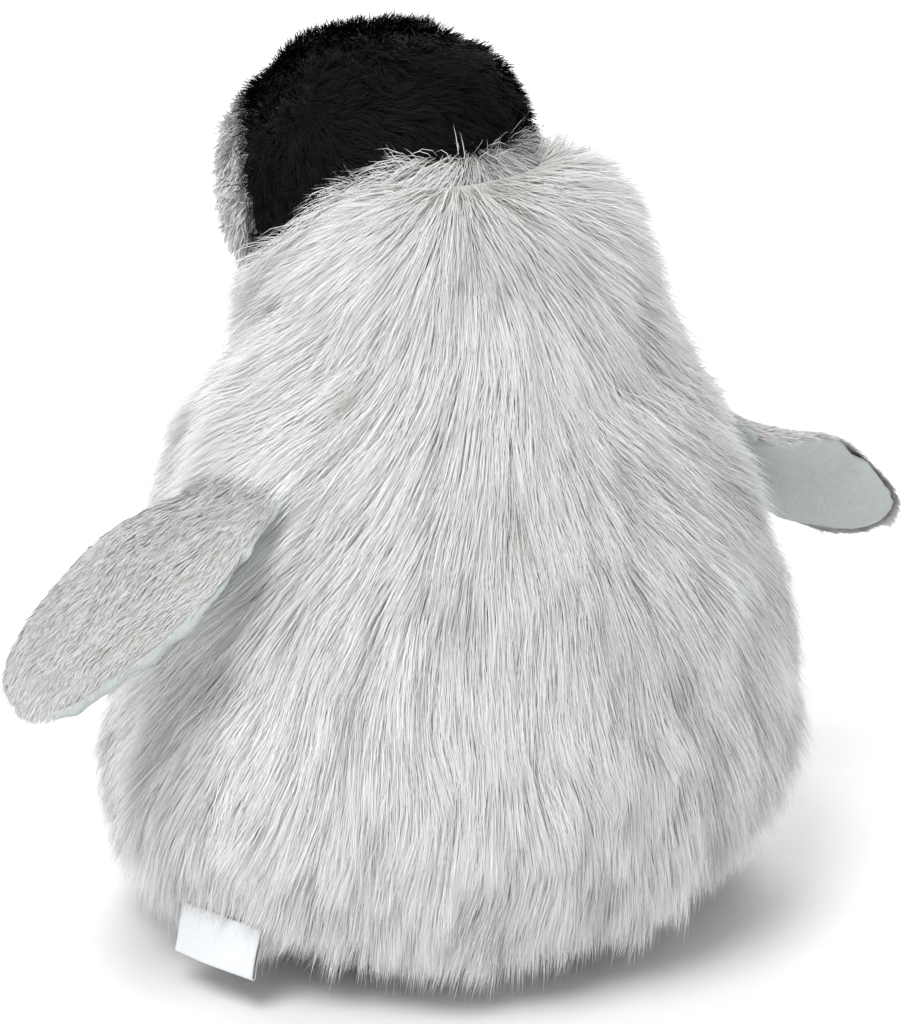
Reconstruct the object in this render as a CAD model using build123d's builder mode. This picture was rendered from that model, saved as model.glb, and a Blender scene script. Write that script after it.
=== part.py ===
from build123d import *
from math import cos, radians, sin
import os

# Seated soft-toy penguin chick, in millimetres. Z is up, the resting face lies on Z = 0 at the origin,
# the toy faces -Y and its left side is +X. "Reach" values are measured forward (-Y) or back (+Y).

os.makedirs("parts", exist_ok=True)

# ---- body ----------------------------------------------------------------------------------------
# height, reach to the back, reach to the front, half width: the outside of the combed pile
BODY_OUTLINE = [
    (0, 50, 68, 62),
    (6, 61, 78, 73),
    (15, 71, 85, 81),
    (26, 78, 89, 87),
    (43, 85, 91, 91),
    (62, 88, 89, 91.5),
    (82, 86.5, 85, 88),
    (102, 81, 80, 82),
    (122, 73.5, 75, 75.5),
    (142, 64, 69, 67),
    (160, 56, 58, 57),
    (176, 49.5, 43, 48.5),
    (190, 42, 28, 41.5),
    (200, 34, 13, 33),
    (206, 22, 4, 22),
]
SKIN = 8.0  # backing cloth and pressed pile together
FIT = 0.4  # room between stuffing and skin
SEAM = 0.4  # gap along a sewn seam
BASE_SEAM_Z = 26.0
BASE_SEAM_GAP = 1.4
THREAD_R = 0.45
THREAD_INSET = 6.5
SIDE_SEAM_Y = 0.0

POUCH_R = 42.0
POUCH_H = 26.0
POUCH_ROUND = 10.0
POUCH_WALL = 1.0
POUCH_Z = 24.0

# ---- head and neck -------------------------------------------------------------------------------
HEAD_X, HEAD_Y, HEAD_Z = 0.0, -28.0, 191.0
HEAD_R = 42.0
HEAD_SKIN = 6.0
COLLAR_GAP = 1.0
NECK_TILT = 45.0  # the neck seam faces up and forward
NECK_R = 20.0
NECK_LENGTH = 13.0
CHEEK_R = 24.0
CHEEK_TURN = 45.0  # from straight ahead
CHEEK_RISE = -6.0
CHIN_R = 17.0
CHIN_RISE = -42.0
CHIN_TAB = (11.0, 168.0, 187.5)  # half width, low and high ends of the strip that meets the beak
EYE_TURN = 27.0
EYE_RISE = 8.0
EYE_R = 4.6
EYE_SEAT = 41.6
SHANK_R = 1.3
SHANK_DEPTH = 28.5
WASHER_R = 6.0
WASHER_T = 1.4
WASHER_SEAT = 33.0
# distance from the head's centre, half width, half height, drop
BEAK_STATIONS = [
    (36.5, 7.6, 6.6, 0.5),
    (44.0, 6.6, 5.6, 1.2),
    (51.0, 4.4, 3.9, 3.2),
    (57.0, 1.8, 1.8, 5.8),
]
BEAK_POCKET = 0.4
MOUTH_DROP = 2.0
MOUTH_SLOPE = 10.0

# ---- flippers ------------------------------------------------------------------------------------
# root line of each flipper: sideways, back and up; the right one is sewn lower
FLIPPER_ROOT = {"left": (78.5, 10.0, 128.0), "right": (-81.0, 10.0, 118.0)}
FLIPPER_DROOP = {"left": 28.0, "right": 36.0}
FLIPPER_ROLL = {"left": 30.0, "right": -48.0}
# distance from the root, width, thickness, sweep to the back, share of the full roll
FLIPPER_STATIONS = [
    (0, 35, 8.4, 0, 0.0),
    (10, 37, 9.2, 0, 0.25),
    (23, 36.5, 9.4, 0, 0.7),
    (37, 34, 9.0, 0.5, 1.0),
    (50, 30, 8.4, 1, 1.0),
    (60, 25, 7.6, 1.5, 1.0),
    (69, 14, 5.4, 2, 1.0),
]
FLIPPER_LAYER = 2.4
FLIPPER_EDGE = 3.0

# ---- feet ----------------------------------------------------------------------------------------
FOOT_X = 27.0
# sideways offset, forward reach, height and radius of each rounded lobe: instep, then toes
FOOT_LOBES = [
    (0, 80.5, 2.5, 9.0),
    (-9.5, 87.0, 4.0, 8.3),
    (0, 90.5, 4.0, 8.3),
    (9.5, 87.0, 4.0, 8.3),
]
SOLE_T = 2.0
FOOT_SKIN = 2.2
FOOT_NOOK_R = 23.0
FOOT_NOOK_Y = -92.0

# ---- label ---------------------------------------------------------------------------------------
LABEL_W = 27.0
LABEL_L = 9.5
LABEL_T = 0.4
LABEL_GAP = 0.9
LABEL_ROOT = (84.8, 14.0, 19.5)
LABEL_TURN = 11.0
LABEL_DROOP = 72.0


def body_form(inset, low, high):
    """The body's outline, drawn in by inset; its ends move to the heights low and high."""
    with BuildPart() as form:
        for z, back, front, half in BODY_OUTLINE:
            rise = max(0.0, 1 - z / 60) * low
            drop = max(0.0, (z - 150) / 56) * high
            with BuildSketch(Plane.XY.offset(z + rise - drop)):
                with Locations((0, (back - front) / 2)):
                    Ellipse((back + front) / 2 - inset, half - inset, rotation=90)
        loft()
    return form.part


def ball(x, y, z, radius):
    with BuildPart() as form:
        with Locations((x, y, z)):
            Sphere(radius)
    return form.part


def block(low, high):
    """A box between two corners."""
    size = [b - a for a, b in zip(low, high)]
    middle = tuple((a + b) / 2 for a, b in zip(low, high))
    with BuildPart() as form:
        with Locations(middle):
            Box(*size)
    return form.part


def head_plane(turn, rise, distance):
    """A plane square to a direction from the head's centre, at a distance along it."""
    t, r = radians(turn), radians(rise)
    way = Vector(sin(t) * cos(r), -cos(t) * cos(r), sin(r))
    centre = Vector(HEAD_X, HEAD_Y, HEAD_Z)
    return Plane(origin=centre + way * distance, z_dir=way)


def head_rod(turn, rise, radius, start, end):
    """A round bar along a direction from the head's centre."""
    with BuildPart() as form:
        with BuildSketch(head_plane(turn, rise, start)):
            Circle(radius)
        extrude(amount=end - start)
    return form.part


def head_shell(plane):
    """The head's hollow skin, with its poles along the plane's normal."""
    with BuildPart(Plane(origin=(HEAD_X, HEAD_Y, HEAD_Z), x_dir=plane.x_dir, z_dir=plane.z_dir)) as form:
        Sphere(HEAD_R)
        Sphere(HEAD_R - HEAD_SKIN, mode=Mode.SUBTRACT)
    return form.part


def chin_form(grow):
    half, low, high = CHIN_TAB
    rod = head_rod(0, CHIN_RISE, CHIN_R + grow, 8, 60)
    with BuildPart() as form:
        add(rod)
        add(block((-half - grow, HEAD_Y - 50, low), (half + grow, HEAD_Y - 25, high + grow)))
    return form.part


def beak_form(grow):
    with BuildPart() as form:
        for distance, half_width, half_height, drop in BEAK_STATIONS:
            spot = Vector(HEAD_X, HEAD_Y - distance, HEAD_Z - drop)
            with BuildSketch(Plane(origin=spot, x_dir=(1, 0, 0), z_dir=(0, -1, 0))):
                Ellipse(half_width + grow, half_height + grow)
        loft()
    return form.part


def flipper_plane(side, station):
    """Section plane across a flipper: X along its width to the front, Z out along its length."""
    distance, width, thick, sweep, roll_share = station
    sign = 1 if side == "left" else -1
    droop = radians(FLIPPER_DROOP[side])
    roll = radians(FLIPPER_ROLL[side] * roll_share)
    out = Vector(sign * cos(droop), 0, -sin(droop))
    up = Vector(sign * sin(droop), 0, cos(droop))
    ahead = Vector(0, -1, 0)
    chord = ahead * cos(roll) + up * sin(roll)
    root = Vector(*FLIPPER_ROOT[side])
    return Plane(origin=root + out * distance - chord * sweep, x_dir=chord, z_dir=out)


def flipper_layer(side, layer):
    """One cloth face of a flipper, or the padding between the two."""
    facing = -1 if side == "left" else 1
    if layer == "lining":
        facing = -facing
    with BuildPart() as form:
        for station in FLIPPER_STATIONS:
            width, thick = station[1], station[2]
            core_width = width / 2 - FLIPPER_EDGE * min(1, width / 30)
            core_thick = thick / 2 - FLIPPER_LAYER * min(1, thick / 8)
            with BuildSketch(flipper_plane(side, station)):
                if layer == "padding":
                    edge, crown = core_width - SEAM / 2, core_thick - SEAM / 2
                    with BuildLine():
                        ThreePointArc((edge, 0), (0, crown), (-edge, 0))
                        ThreePointArc((-edge, 0), (0, -crown), (edge, 0))
                    make_face()
                else:
                    Ellipse(width / 2, thick / 2)
                    with Locations((0, -facing * (thick - SEAM / 2))):
                        Rectangle(width + 4, 2 * thick, mode=Mode.SUBTRACT)
                    Ellipse(core_width, core_thick, mode=Mode.SUBTRACT)
        loft()
    return form.part


def foot_lobes(sign, shrink, low):
    """The rounded lobes of one foot above the height low."""
    with BuildPart() as form:
        for dx, reach, z, radius in FOOT_LOBES:
            with Locations((sign * FOOT_X + dx, -reach, z)):
                Sphere(radius - shrink)
        split(bisect_by=Plane.XY.offset(low), keep=Keep.TOP)
    return form.part


# ---- shared forms --------------------------------------------------------------------------------
outer = body_form(0, 0, 0)
inner = body_form(SKIN, SKIN, SKIN)
filling = body_form(SKIN + FIT, SKIN + FIT, SKIN + FIT)
collar_seat = ball(HEAD_X, HEAD_Y, HEAD_Z, HEAD_R + COLLAR_GAP)
nook_left = ball(FOOT_X, FOOT_NOOK_Y, 2, FOOT_NOOK_R)
nook_right = ball(-FOOT_X, FOOT_NOOK_Y, 2, FOOT_NOOK_R)
FAR = 160
UPPER_LOW = BASE_SEAM_Z + BASE_SEAM_GAP / 2
BASE_HIGH = BASE_SEAM_Z - BASE_SEAM_GAP / 2

neck_way = Vector(0, -cos(radians(NECK_TILT)), sin(radians(NECK_TILT)))
neck_plane = Plane(origin=Vector(HEAD_X, HEAD_Y, HEAD_Z), x_dir=(1, 0, 0), z_dir=neck_way)

# ---- body skin -----------------------------------------------------------------------------------
skin_zones = {
    "back_panel_left": ((SEAM / 2, SIDE_SEAM_Y + SEAM / 2, UPPER_LOW), (FAR, FAR, 230)),
    "back_panel_right": ((-FAR, SIDE_SEAM_Y + SEAM / 2, UPPER_LOW), (-SEAM / 2, FAR, 230)),
    "belly_panel": ((-FAR, -FAR, UPPER_LOW), (FAR, SIDE_SEAM_Y - SEAM / 2, 230)),
    "base_panel": ((-FAR, -FAR, -1), (FAR, FAR, BASE_HIGH)),
}
for name, (low, high) in skin_zones.items():
    zone = block(low, high)
    with BuildPart() as skin:
        add(outer)
        add(inner, mode=Mode.SUBTRACT)
        add(collar_seat, mode=Mode.SUBTRACT)
        add(nook_left, mode=Mode.SUBTRACT)
        add(nook_right, mode=Mode.SUBTRACT)
        add(zone, mode=Mode.INTERSECT)
    skin.part.label = name
    export_step(skin.part, "parts/" + name + ".step")

# thread that closes the base panel's seam, all round the body
seam_back, seam_front, seam_half = BODY_OUTLINE[3][1:]
with BuildPart() as base_seam_thread:
    with BuildLine(Plane.XY.offset(BASE_SEAM_Z)) as seam_path:
        EllipticalCenterArc(
            (0, (seam_back - seam_front) / 2),
            seam_half - THREAD_INSET,
            (seam_back + seam_front) / 2 - THREAD_INSET,
            arc_size=360,
        )
    with BuildSketch(Plane(origin=seam_path.line @ 0, z_dir=seam_path.line % 0)):
        Circle(THREAD_R)
    sweep()
    add(nook_left, mode=Mode.SUBTRACT)
    add(nook_right, mode=Mode.SUBTRACT)
base_seam_thread.part.label = "base_seam_thread"
export_step(base_seam_thread.part, "parts/base_seam_thread.step")

# ---- body filling --------------------------------------------------------------------------------
with BuildPart() as pouch_shape:
    with Locations((0, 0, POUCH_Z)):
        Cylinder(POUCH_R, POUCH_H)
    fillet(pouch_shape.edges().filter_by(GeomType.CIRCLE), POUCH_ROUND)

with BuildPart() as pouch_inside:
    with Locations((0, 0, POUCH_Z)):
        Cylinder(POUCH_R - POUCH_WALL, POUCH_H - 2 * POUCH_WALL)
    fillet(pouch_inside.edges().filter_by(GeomType.CIRCLE), POUCH_ROUND - POUCH_WALL)

with BuildPart() as pouch_room:
    with Locations((0, 0, POUCH_Z)):
        Cylinder(POUCH_R + FIT, POUCH_H + 2 * FIT)
    fillet(pouch_room.edges().filter_by(GeomType.CIRCLE), POUCH_ROUND + FIT)

with BuildPart() as pellet_pouch:
    add(pouch_shape.part)
    add(pouch_inside.part, mode=Mode.SUBTRACT)
pellet_pouch.part.label = "pellet_pouch"
export_step(pellet_pouch.part, "parts/pellet_pouch.step")

with BuildPart() as pellet_fill:
    with Locations((0, 0, POUCH_Z)):
        Cylinder(POUCH_R - POUCH_WALL - FIT, POUCH_H - 2 * POUCH_WALL - 2 * FIT)
    fillet(pellet_fill.edges().filter_by(GeomType.CIRCLE), POUCH_ROUND - POUCH_WALL - FIT)
pellet_fill.part.label = "pellet_fill"
export_step(pellet_fill.part, "parts/pellet_fill.step")

with BuildPart() as neck_room:
    with BuildSketch(neck_plane.offset(-HEAD_R - COLLAR_GAP - NECK_LENGTH)):
        Circle(NECK_R + COLLAR_GAP)
    extrude(amount=NECK_LENGTH + HEAD_R)

with BuildPart() as body_stuffing:
    add(filling)
    add(collar_seat, mode=Mode.SUBTRACT)
    add(neck_room.part, mode=Mode.SUBTRACT)
    add(pouch_room.part, mode=Mode.SUBTRACT)
    add(nook_left, mode=Mode.SUBTRACT)
    add(nook_right, mode=Mode.SUBTRACT)
body_stuffing.part.label = "body_stuffing"
export_step(body_stuffing.part, "parts/body_stuffing.step")

with BuildPart() as neck_stuffing:
    with BuildSketch(neck_plane.offset(-HEAD_R - NECK_LENGTH)):
        Circle(NECK_R)
    extrude(amount=NECK_LENGTH + 10)
    add(collar_seat, mode=Mode.SUBTRACT)
neck_stuffing.part.label = "neck_stuffing"
export_step(neck_stuffing.part, "parts/neck_stuffing.step")

# ---- head skin -----------------------------------------------------------------------------------
sideways = Plane(origin=(0, 0, 0), x_dir=(0, 1, 0), z_dir=(1, 0, 0))
cap_shell = head_shell(sideways)
beak_room = beak_form(BEAK_POCKET)
cheek_left = head_rod(CHEEK_TURN, CHEEK_RISE, CHEEK_R, 8, 60)
cheek_right = head_rod(-CHEEK_TURN, CHEEK_RISE, CHEEK_R, 8, 60)
cheek_left_room = head_rod(CHEEK_TURN, CHEEK_RISE, CHEEK_R + SEAM, 8, 60)
cheek_right_room = head_rod(-CHEEK_TURN, CHEEK_RISE, CHEEK_R + SEAM, 8, 60)
chin = chin_form(0)
chin_room = chin_form(SEAM)

for side, sign in (("left", 1), ("right", -1)):
    half = block(
        (min(sign * SEAM / 2, sign * FAR), -FAR, 100), (max(sign * SEAM / 2, sign * FAR), FAR, 300)
    )
    with BuildPart() as head_cap:
        add(cap_shell)
        add(half, mode=Mode.INTERSECT)
        add(cheek_left_room, mode=Mode.SUBTRACT)
        add(cheek_right_room, mode=Mode.SUBTRACT)
        add(chin_room, mode=Mode.SUBTRACT)
        add(beak_room, mode=Mode.SUBTRACT)
    head_cap.part.label = "head_cap_" + side
    export_step(head_cap.part, "parts/head_cap_" + side + ".step")

    eye_turn = sign * EYE_TURN
    eye_spot = head_plane(eye_turn, EYE_RISE, EYE_SEAT).origin
    eye_room = ball(eye_spot.X, eye_spot.Y, eye_spot.Z, EYE_R + SEAM)
    shank_room = head_rod(eye_turn, EYE_RISE, SHANK_R + SEAM, 20, 44)
    with BuildPart() as cheek_patch:
        add(head_shell(head_plane(sign * CHEEK_TURN, CHEEK_RISE, 0)))
        add(cheek_left if sign > 0 else cheek_right, mode=Mode.INTERSECT)
        add(eye_room, mode=Mode.SUBTRACT)
        add(shank_room, mode=Mode.SUBTRACT)
        add(beak_room, mode=Mode.SUBTRACT)
    cheek_patch.part.label = "cheek_patch_" + side
    export_step(cheek_patch.part, "parts/cheek_patch_" + side + ".step")

    eye_shank = head_rod(eye_turn, EYE_RISE, SHANK_R, SHANK_DEPTH, EYE_SEAT)
    with BuildPart() as eye:
        with Locations((eye_spot.X, eye_spot.Y, eye_spot.Z)):
            Sphere(EYE_R)
        add(eye_shank)
    eye.part.label = "eye_" + side
    export_step(eye.part, "parts/eye_" + side + ".step")

    washer_hole = head_rod(eye_turn, EYE_RISE, SHANK_R + SEAM / 2, 20, 44)
    washer_end = WASHER_SEAT + WASHER_T
    with BuildPart() as eye_washer:
        add(head_rod(eye_turn, EYE_RISE, WASHER_R, WASHER_SEAT, washer_end))
        add(washer_hole, mode=Mode.SUBTRACT)
    eye_washer.part.label = "eye_washer_" + side
    export_step(eye_washer.part, "parts/eye_washer_" + side + ".step")

with BuildPart() as chin_patch:
    add(head_shell(head_plane(0, CHIN_RISE, 0)))
    add(chin, mode=Mode.INTERSECT)
    add(cheek_left_room, mode=Mode.SUBTRACT)
    add(cheek_right_room, mode=Mode.SUBTRACT)
    add(beak_room, mode=Mode.SUBTRACT)
chin_patch.part.label = "chin_patch"
export_step(chin_patch.part, "parts/chin_patch.step")

# ---- beak ----------------------------------------------------------------------------------------
beak_whole = beak_form(0)
mouth_spot = Vector(HEAD_X, HEAD_Y - BEAK_STATIONS[0][0], HEAD_Z - MOUTH_DROP)
mouth_way = Vector(0, -sin(radians(MOUTH_SLOPE)), cos(radians(MOUTH_SLOPE)))
upper_cut = Plane(origin=mouth_spot + mouth_way * (SEAM / 2), z_dir=mouth_way)
lower_cut = Plane(origin=mouth_spot - mouth_way * (SEAM / 2), z_dir=mouth_way)

with BuildPart() as beak_upper:
    add(beak_whole)
    split(bisect_by=upper_cut, keep=Keep.TOP)
beak_upper.part.label = "beak_upper"
export_step(beak_upper.part, "parts/beak_upper.step")

with BuildPart() as beak_lower:
    add(beak_whole)
    split(bisect_by=lower_cut, keep=Keep.BOTTOM)
beak_lower.part.label = "beak_lower"
export_step(beak_lower.part, "parts/beak_lower.step")

# ---- head filling --------------------------------------------------------------------------------
washer_room = head_rod(EYE_TURN, EYE_RISE, WASHER_R + SEAM, SHANK_DEPTH - 1, 40)
washer_room_right = head_rod(-EYE_TURN, EYE_RISE, WASHER_R + SEAM, SHANK_DEPTH - 1, 40)
with BuildPart() as head_stuffing:
    with Locations((HEAD_X, HEAD_Y, HEAD_Z)):
        Sphere(HEAD_R - HEAD_SKIN - FIT)
    add(washer_room, mode=Mode.SUBTRACT)
    add(washer_room_right, mode=Mode.SUBTRACT)
head_stuffing.part.label = "head_stuffing"
export_step(head_stuffing.part, "parts/head_stuffing.step")

# ---- flippers ------------------------------------------------------------------------------------
for side in ("left", "right"):
    for layer in ("outer", "lining", "padding"):
        name = "flipper_" + layer + "_" + side
        cloth = flipper_layer(side, layer)
        with BuildPart() as flipper:
            add(cloth)
        flipper.part.label = name
        export_step(flipper.part, "parts/" + name + ".step")

# ---- feet ----------------------------------------------------------------------------------------
for side, sign in (("left", 1), ("right", -1)):
    foot_out = foot_lobes(sign, 0, SOLE_T + SEAM)
    foot_in = foot_lobes(sign, FOOT_SKIN, SOLE_T + SEAM)
    foot_core = foot_lobes(sign, FOOT_SKIN + SEAM, SOLE_T + SEAM)
    with BuildPart() as foot_upper:
        add(foot_out)
        add(foot_in, mode=Mode.SUBTRACT)
    foot_upper.part.label = "foot_upper_" + side
    export_step(foot_upper.part, "parts/foot_upper_" + side + ".step")

    with BuildPart() as foot_padding:
        add(foot_core)
    foot_padding.part.label = "foot_padding_" + side
    export_step(foot_padding.part, "parts/foot_padding_" + side + ".step")

    with BuildPart() as foot_sole:
        with BuildSketch():
            for dx, reach, z, radius in FOOT_LOBES:
                with Locations((sign * FOOT_X + dx, -reach)):
                    Circle(radius - 0.6)
        extrude(amount=SOLE_T)
    foot_sole.part.label = "foot_sole_" + side
    export_step(foot_sole.part, "parts/foot_sole_" + side + ".step")

# ---- label ---------------------------------------------------------------------------------------
# a folded tape seen from its edge: two flat leaves joined by a round fold at the free end
droop, turn = radians(LABEL_DROOP), radians(LABEL_TURN)
label_out = Vector(cos(droop) * cos(turn), cos(droop) * sin(turn), -sin(droop))
label_along = Vector(sin(turn), -cos(turn), 0)
label_start = Vector(*LABEL_ROOT) - label_along * (LABEL_W / 2)
label_plane = Plane(origin=label_start, x_dir=label_out, z_dir=label_along)
fold_r = LABEL_GAP / 2 + LABEL_T
straight = LABEL_L - fold_r
with BuildPart() as brand_label:
    with BuildSketch(label_plane):
        with Locations((straight / 2, 0)):
            Rectangle(straight, 2 * fold_r)
        with Locations((straight, 0)):
            Circle(fold_r)
            Circle(LABEL_GAP / 2, mode=Mode.SUBTRACT)
        with Locations((straight / 2, 0)):
            Rectangle(straight, LABEL_GAP, mode=Mode.SUBTRACT)
    extrude(amount=LABEL_W)
brand_label.part.label = "brand_label"
export_step(brand_label.part, "parts/brand_label.step")
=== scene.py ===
import math
import bpy
import numpy as np
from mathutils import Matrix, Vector
from mathutils.kdtree import KDTree


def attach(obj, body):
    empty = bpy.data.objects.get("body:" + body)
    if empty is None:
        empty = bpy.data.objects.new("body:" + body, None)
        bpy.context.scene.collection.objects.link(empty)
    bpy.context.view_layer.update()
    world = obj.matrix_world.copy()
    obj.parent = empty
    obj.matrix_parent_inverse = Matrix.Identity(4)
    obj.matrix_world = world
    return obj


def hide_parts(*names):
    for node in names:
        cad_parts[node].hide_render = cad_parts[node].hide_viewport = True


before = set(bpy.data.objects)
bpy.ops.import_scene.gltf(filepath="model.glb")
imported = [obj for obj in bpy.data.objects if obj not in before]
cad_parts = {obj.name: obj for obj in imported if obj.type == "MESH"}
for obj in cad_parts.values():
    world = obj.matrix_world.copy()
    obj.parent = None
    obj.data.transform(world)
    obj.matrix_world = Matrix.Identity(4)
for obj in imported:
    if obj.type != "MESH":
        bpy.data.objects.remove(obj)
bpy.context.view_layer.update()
SHARE = 1.0
MM = 0.001
PI = math.pi
DOWN = np.array((0, 0, -1))

# ---- the toy's measures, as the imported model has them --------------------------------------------
# height, reach to the back, reach to the front, half width of the body's outline
OUTLINE = np.array([
    (0, 50, 68, 62), (6, 61, 78, 73), (15, 71, 85, 81), (26, 78, 89, 87), (43, 85, 91, 91),
    (62, 88, 89, 91.5), (82, 86.5, 85, 88), (102, 81, 80, 82), (122, 73.5, 75, 75.5), (142, 64, 69, 67),
    (160, 56, 58, 57), (176, 49.5, 43, 48.5), (190, 42, 28, 41.5), (200, 34, 13, 33), (206, 22, 4, 22),
]) * MM
BASE_SEAM = 26 * MM
HEAD = np.array((0, -28, 191)) * MM
HEAD_R = 42 * MM
CHEEK = (45, -6, 24 * MM)
CHIN = (0, -42, 17 * MM)
EYE = (27, 8)
HINGE = {"left": np.array((78.5, 10, 128)) * MM, "right": np.array((-81, 10, 118)) * MM}
DROOP = {"left": 28, "right": 36}
ROLL = {"left": 30, "right": -48}
LABEL_ROOT = np.array((84.8, 14.0, 19.5)) * MM
LABEL_TURN, LABEL_DROOP, LABEL_WIDE, LABEL_LONG = 11, 72, 27 * MM, 9.5 * MM
FOOT_X = 27 * MM

# ---- the pile ------------------------------------------------------------------------------------
# hairs tried on each part at full detail; some places drop a share of theirs
HAIRS = {
    "back": 78000, "belly": 76000, "base": 34000, "ruff": 110000, "cap": 54000, "cheeks": 70000, "nap": 36000,
}
HAIR_WIDTH = {"coat": 0.165 * MM, "ruff": 0.19 * MM, "cap": 0.20 * MM, "cheeks": 0.28 * MM, "nap": 0.17 * MM}
FAN_CENTRE = 2.70  # turn at which the pile of the back hangs straight down


# ---- small tools ---------------------------------------------------------------------------------
def unit(v):
    return v / np.maximum(np.linalg.norm(v, axis=-1, keepdims=True), 1e-12)


def flow_along(normals, way):
    """The part of a direction that lies in the surface."""
    way = np.broadcast_to(np.asarray(way, float), normals.shape)
    return unit(way - normals * np.sum(way * normals, -1, keepdims=True))


def spin(v, axis, angle):
    """Each row of v turned about the same row of axis."""
    c, s = np.cos(angle)[:, None], np.sin(angle)[:, None]
    return v * c + np.cross(axis, v) * s + axis * np.sum(axis * v, -1, keepdims=True) * (1 - c)


def hermite(x, xs, ys):
    """Smooth curve through points, for one or more columns."""
    ys = ys.reshape(len(xs), -1)
    slope = np.gradient(ys, xs, axis=0)
    i = np.clip(np.searchsorted(xs, x) - 1, 0, len(xs) - 2)
    h = (xs[i + 1] - xs[i])[..., None]
    t = ((x - xs[i])[..., None]) / h
    return (
        (2 * t**3 - 3 * t**2 + 1) * ys[i] + (t**3 - 2 * t**2 + t) * h * slope[i]
        + (3 * t**2 - 2 * t**3) * ys[i + 1] + (t**3 - t**2) * h * slope[i + 1]
    )


def lattice_hash(i, seed):
    n = i[..., 0] * 73856093 ^ i[..., 1] * 19349663 ^ i[..., 2] * 83492791 ^ seed * 2654435
    n = (n ^ (n >> 13)) * 1274126177 & 0x7FFFFFFF
    return ((n ^ (n >> 16)) & 0xFFFF) / 32767.5 - 1.0


def noise(points, size, seed):
    """Smooth noise from -1 to 1 with features of about the given size."""
    p = np.asarray(points) / size
    cell = np.floor(p).astype(np.int64)
    f = p - cell
    f = f * f * (3 - 2 * f)
    total = 0
    for dx in (0, 1):
        for dy in (0, 1):
            for dz in (0, 1):
                w = (
                    (f[..., 0] if dx else 1 - f[..., 0])
                    * (f[..., 1] if dy else 1 - f[..., 1])
                    * (f[..., 2] if dz else 1 - f[..., 2])
                )
                total = total + w * lattice_hash(cell + (dx, dy, dz), seed)
    return total


def aim(turn, rise):
    """A direction from the head: turn from straight ahead towards the left, and rise."""
    t, r = math.radians(turn), math.radians(rise)
    return np.array((math.sin(t) * math.cos(r), -math.cos(t) * math.cos(r), math.sin(r)))


# ---- materials -----------------------------------------------------------------------------------
def new_material(name, rough=0.8, specular=0.3, sheen=0.0):
    m = bpy.data.materials.new(name)
    m.use_nodes = True
    shader = m.node_tree.nodes["Principled BSDF"]
    shader.inputs["Roughness"].default_value = rough
    shader.inputs["Specular IOR Level"].default_value = specular
    shader.inputs["Sheen Weight"].default_value = sheen
    return m, m.node_tree, shader


def ramp_node(tree, stops):
    node = tree.nodes.new("ShaderNodeValToRGB")
    ramp = node.color_ramp
    while len(ramp.elements) < len(stops):
        ramp.elements.new(0.5)
    for element, (at, colour) in zip(ramp.elements, stops):
        element.position = at
        element.color = (*colour, 1)
    return node


def fur_material(name, stops, dark, light, rough=0.6, specular=0.25, sheen=0.0):
    """Colour runs along each hair by V, and each hair has its own tone by U."""
    m, tree, shader = new_material(name, rough, specular, sheen)
    uv = tree.nodes.new("ShaderNodeUVMap")
    uv.uv_map = "OFBake"
    split = tree.nodes.new("ShaderNodeSeparateXYZ")
    along = ramp_node(tree, stops)
    tone = ramp_node(tree, [(0, dark), (1, light)])
    mix = tree.nodes.new("ShaderNodeMix")
    mix.data_type = "RGBA"
    mix.blend_type = "MULTIPLY"
    mix.inputs["Factor"].default_value = 1
    tree.links.new(uv.outputs["UV"], split.inputs[0])
    tree.links.new(split.outputs["Y"], along.inputs[0])
    tree.links.new(split.outputs["X"], tone.inputs[0])
    tree.links.new(along.outputs["Color"], mix.inputs[6])
    tree.links.new(tone.outputs["Color"], mix.inputs[7])
    tree.links.new(mix.outputs[2], shader.inputs["Base Color"])
    return m


def cloth_material(name, low, high, grain, bump=0.25, rough=0.9, sheen=0.3, stretch=(1, 1, 1)):
    """Cloth with a mottled colour and a raised grain of the given size in metres."""
    m, tree, shader = new_material(name, rough, 0.2, sheen)
    place = tree.nodes.new("ShaderNodeTexCoord")
    scale = tree.nodes.new("ShaderNodeMapping")
    scale.inputs["Scale"].default_value = stretch
    mottle = tree.nodes.new("ShaderNodeTexNoise")
    mottle.inputs["Scale"].default_value = 0.35 / grain
    mottle.inputs["Detail"].default_value = 5
    grains = tree.nodes.new("ShaderNodeTexNoise")
    grains.inputs["Scale"].default_value = 1 / grain
    grains.inputs["Detail"].default_value = 3
    colours = ramp_node(tree, [(0.3, low), (0.7, high)])
    raised = tree.nodes.new("ShaderNodeBump")
    raised.inputs["Strength"].default_value = bump
    raised.inputs["Distance"].default_value = grain
    blend = tree.nodes.new("ShaderNodeMath")
    blend.operation = "ADD"
    half = tree.nodes.new("ShaderNodeMath")
    half.operation = "MULTIPLY"
    half.inputs[1].default_value = 0.5
    tree.links.new(place.outputs["Object"], scale.inputs["Vector"])
    tree.links.new(scale.outputs["Vector"], mottle.inputs["Vector"])
    tree.links.new(scale.outputs["Vector"], grains.inputs["Vector"])
    tree.links.new(mottle.outputs["Fac"], blend.inputs[0])
    tree.links.new(grains.outputs["Fac"], blend.inputs[1])
    tree.links.new(blend.outputs[0], half.inputs[0])
    tree.links.new(half.outputs[0], colours.inputs[0])
    tree.links.new(grains.outputs["Fac"], raised.inputs["Height"])
    tree.links.new(colours.outputs["Color"], shader.inputs["Base Color"])
    tree.links.new(raised.outputs["Normal"], shader.inputs["Normal"])
    return m


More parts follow.
